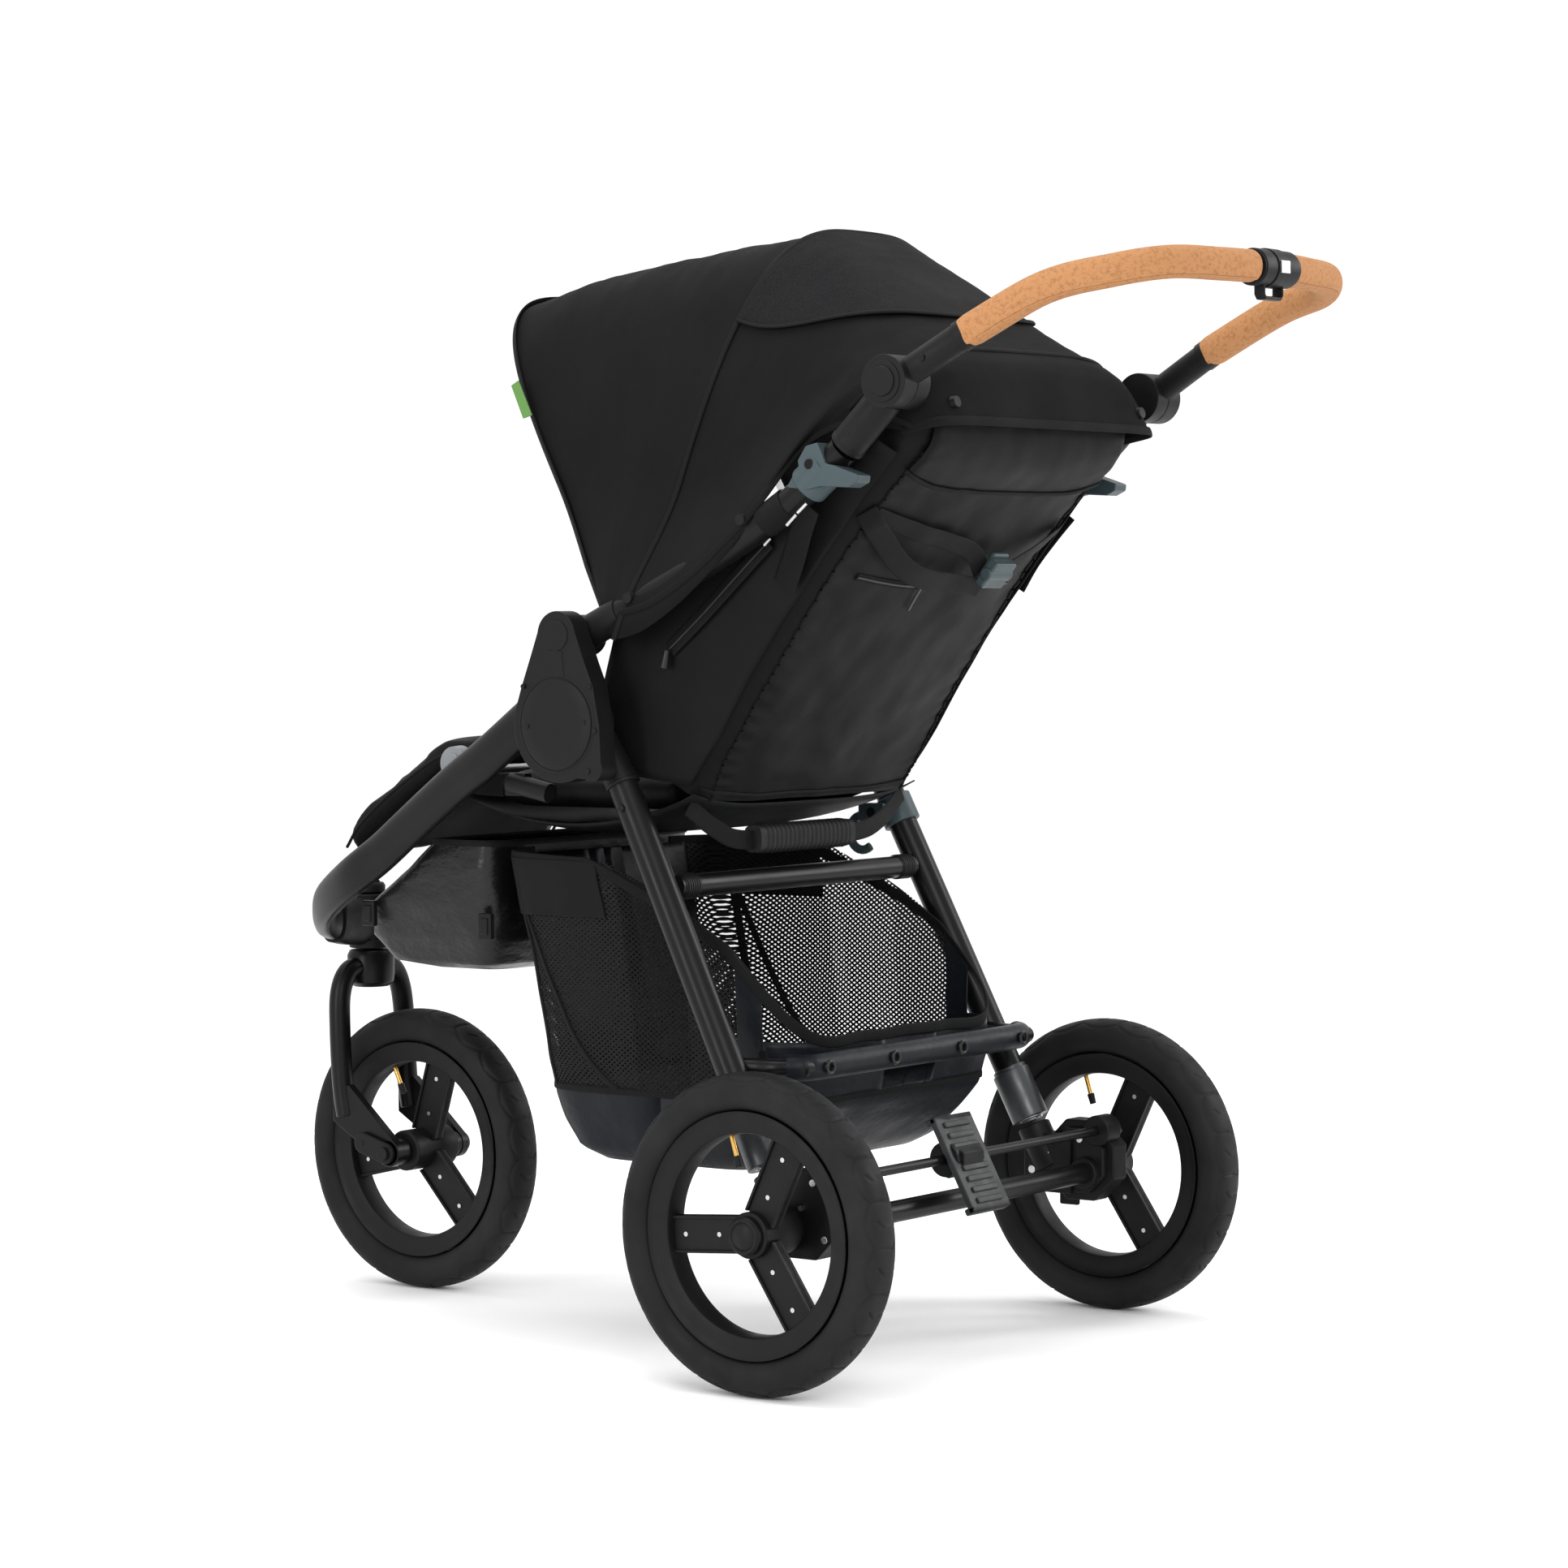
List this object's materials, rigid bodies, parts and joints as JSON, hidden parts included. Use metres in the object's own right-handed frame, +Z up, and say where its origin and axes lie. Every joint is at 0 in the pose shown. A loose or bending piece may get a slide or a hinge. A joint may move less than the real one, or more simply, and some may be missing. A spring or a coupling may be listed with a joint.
{
  "type": "baby_stroller",
  "caption": "Three-wheel all-terrain baby stroller with a black folding frame, canopy, reclining seat, mesh basket and cork-covered handlebar.",
  "frame": {"origin": "on level ground below the middle of the overall box, on the stroller's middle plane", "axes": "+X to the rider's left side, +Y to the rear where the handlebar is (the front wheel is at -Y), +Z up"},
  "size_m": [0.679, 1.2928, 1.154],
  "materials": {
    "frame_tube": "satin black powder coat",
    "black_plastic": "fine-grained matte black",
    "slate_plastic": "satin slate blue-grey",
    "cork": "pressed cork with dark flecks",
    "tyre_rubber": "matte air-filled tyre",
    "grip_rubber": "matte ribbed soft grip",
    "steel": "zinc-plated",
    "canopy_fabric": "black twill, melange on the rear top",
    "seat_fabric": "black padded polyester weave",
    "basket_mesh": "black diamond mesh over a coated lower band"
  },
  "bodies": {
    "main_frame": {"front_frame_tube_left": "frame_tube", "front_frame_tube_right": "frame_tube", "swivel_housing": "black_plastic", "hub_housing_left": "black_plastic", "hub_housing_right": "black_plastic", "hub_cover_left": "black_plastic", "hub_cover_right": "black_plastic", "seat_cushion": "seat_fabric", "footwell": "seat_fabric", "basket": "basket_mesh", "carry_grip": "grip_rubber", "accessory_socket_left": "black_plastic", "accessory_socket_right": "black_plastic"},
    "legrest": {"legrest_pad": "seat_fabric", "legrest_rod": "steel"},
    "upper_frame": {"upper_frame_tube_left": "frame_tube", "upper_frame_tube_right": "frame_tube", "handle_knuckle_left": "black_plastic", "handle_knuckle_right": "black_plastic", "seat_side_panel_left": "seat_fabric", "seat_side_panel_right": "seat_fabric", "canopy_main_bow": "steel", "canopy_rear_panel": "canopy_fabric"},
    "trigger_left": {"fold_trigger_left": "slate_plastic"},
    "trigger_right": {"fold_trigger_right": "slate_plastic"},
    "handlebar": {"handlebar_tube": "frame_tube", "handle_arm_left": "black_plastic", "handle_arm_right": "black_plastic", "cork_grip_left": "cork", "cork_grip_right": "cork", "handle_clamp": "black_plastic"},
    "button_left": {"handle_button_left": "black_plastic"},
    "button_right": {"handle_button_right": "black_plastic"},
    "seat_back": {"seat_back": "seat_fabric"},
    "canopy_front": {"canopy_front_bow": "steel", "canopy_front_panel": "canopy_fabric"},
    "rear_legs": {"rear_leg_left": "frame_tube", "rear_leg_right": "frame_tube", "leg_crossbar": "frame_tube", "basket_rear_bar": "frame_tube", "leg_strap_clamp": "slate_plastic"},
    "rear_axle": {"axle_tube": "frame_tube", "suspension_carrier_left": "black_plastic", "suspension_carrier_right": "black_plastic", "suspension_spring_left": "steel", "suspension_spring_right": "steel"},
    "brake_pedal": {"brake_pedal": "black_plastic"},
    "brake_pin_left": {"brake_pin_left": "steel"},
    "brake_pin_right": {"brake_pin_right": "steel"},
    "rear_wheel_left": {"rear_tyre_left": "tyre_rubber", "rear_wheel_rim_left": "black_plastic", "rear_hub_cap_left": "black_plastic"},
    "rear_wheel_right": {"rear_tyre_right": "tyre_rubber", "rear_wheel_rim_right": "black_plastic", "rear_hub_cap_right": "black_plastic"},
    "fork": {"front_fork": "frame_tube", "front_axle": "steel"},
    "front_wheel": {"front_tyre": "tyre_rubber", "front_wheel_rim": "black_plastic"},
    "swivel_lock": {"swivel_lock_knob": "black_plastic"}
  },
  "joints": [
    {"name": "frame_fold", "type": "hinge", "parent": "main_frame", "child": "upper_frame", "pos_m": [0, -0.0567, 0.742], "axis": [1, 0, 0], "range_deg": [0, 160], "deforming": ["canopy_rear_panel", "canopy_main_bow", "canopy_front_bow", "seat_back", "seat_side_panel_left", "seat_side_panel_right", "seat_cushion", "footwell", "basket"]},
    {"name": "rear_leg_fold", "type": "hinge", "parent": "main_frame", "child": "rear_legs", "pos_m": [0, -0.0567, 0.6516], "axis": [-1, 0, 0], "range_deg": [0, 54]},
    {"name": "legrest_tilt", "type": "hinge", "parent": "main_frame", "child": "legrest", "pos_m": [0, -0.2557, 0.598], "axis": [1, 0, 0], "range_deg": [-30, 0]},
    {"name": "trigger_pull_left", "type": "slide", "parent": "upper_frame", "child": "trigger_left", "axis": [0, 0.783, 0.622], "range_m": [0, 0.01], "stiffness_N_per_m": 400},
    {"name": "trigger_pull_right", "type": "slide", "parent": "upper_frame", "child": "trigger_right", "axis": [0, 0.783, 0.622], "range_m": [0, 0.01], "stiffness_N_per_m": 400},
    {"name": "handlebar_angle", "type": "hinge", "parent": "upper_frame", "child": "handlebar", "pos_m": [0, 0.3466, 0.9848], "axis": [1, 0, 0], "range_deg": [-60, 35]},
    {"name": "button_press_left", "type": "slide", "parent": "handlebar", "child": "button_left", "axis": [-1, 0, 0], "range_m": [0, 0.003], "stiffness_N_per_m": 800},
    {"name": "button_press_right", "type": "slide", "parent": "handlebar", "child": "button_right", "axis": [1, 0, 0], "range_m": [0, 0.003], "stiffness_N_per_m": 800},
    {"name": "seat_recline", "type": "hinge", "parent": "upper_frame", "child": "seat_back", "pos_m": [0, 0.0583, 0.588], "axis": [-1, 0, 0], "range_deg": [-28, 0]},
    {"name": "canopy_open", "type": "hinge", "parent": "upper_frame", "child": "canopy_front", "pos_m": [0, -0.0237, 0.742], "axis": [1, 0, 0], "range_deg": [-35, 0], "deforming": ["canopy_front_panel"]},
    {"name": "suspension_travel", "type": "slide", "parent": "rear_legs", "child": "rear_axle", "axis": [0, -0.4515, 0.8923], "range_m": [0, 0.012], "stiffness_N_per_m": 15000, "springref_m": -0.012, "deforming": ["suspension_spring_left", "suspension_spring_right"]},
    {"name": "brake_pedal_press", "type": "hinge", "parent": "rear_axle", "child": "brake_pedal", "pos_m": [0, 0.2753, 0.206], "axis": [-1, 0, 0], "range_deg": [0, 25]},
    {"name": "brake_pin_slide_left", "type": "slide", "parent": "rear_axle", "child": "brake_pin_left", "axis": [1, 0, 0], "range_m": [0, 0.0061]},
    {"name": "brake_pin_slide_right", "type": "slide", "parent": "rear_axle", "child": "brake_pin_right", "axis": [-1, 0, 0], "range_m": [0, 0.0061]},
    {"name": "rear_wheel_spin_left", "type": "hinge", "parent": "rear_axle", "child": "rear_wheel_left", "pos_m": [0.3152, 0.2343, 0.15875], "axis": [1, 0, 0], "continuous": true},
    {"name": "rear_wheel_spin_right", "type": "hinge", "parent": "rear_axle", "child": "rear_wheel_right", "pos_m": [-0.3152, 0.2343, 0.15875], "axis": [1, 0, 0], "continuous": true},
    {"name": "fork_swivel", "type": "hinge", "parent": "main_frame", "child": "fork", "pos_m": [0, -0.5657, 0.4], "axis": [0, 0, 1], "continuous": true},
    {"name": "front_wheel_spin", "type": "hinge", "parent": "fork", "child": "front_wheel", "pos_m": [0, -0.4877, 0.15875], "axis": [1, 0, 0], "continuous": true},
    {"name": "swivel_lock_turn", "type": "hinge", "parent": "main_frame", "child": "swivel_lock", "pos_m": [0, -0.5657, 0.45], "axis": [0, 0, 1], "range_deg": [0, 90]}
  ],
  "couplings": [
    {"joint": "rear_leg_fold", "follows": "frame_fold", "ratio": 0.3375},
    {"joint": "trigger_pull_right", "follows": "trigger_pull_left", "ratio": 1},
    {"joint": "button_press_right", "follows": "button_press_left", "ratio": 1},
    {"joint": "brake_pin_slide_left", "follows": "brake_pedal_press", "m_per_rad": 0.01375},
    {"joint": "brake_pin_slide_right", "follows": "brake_pedal_press", "m_per_rad": 0.01375}
  ]
}
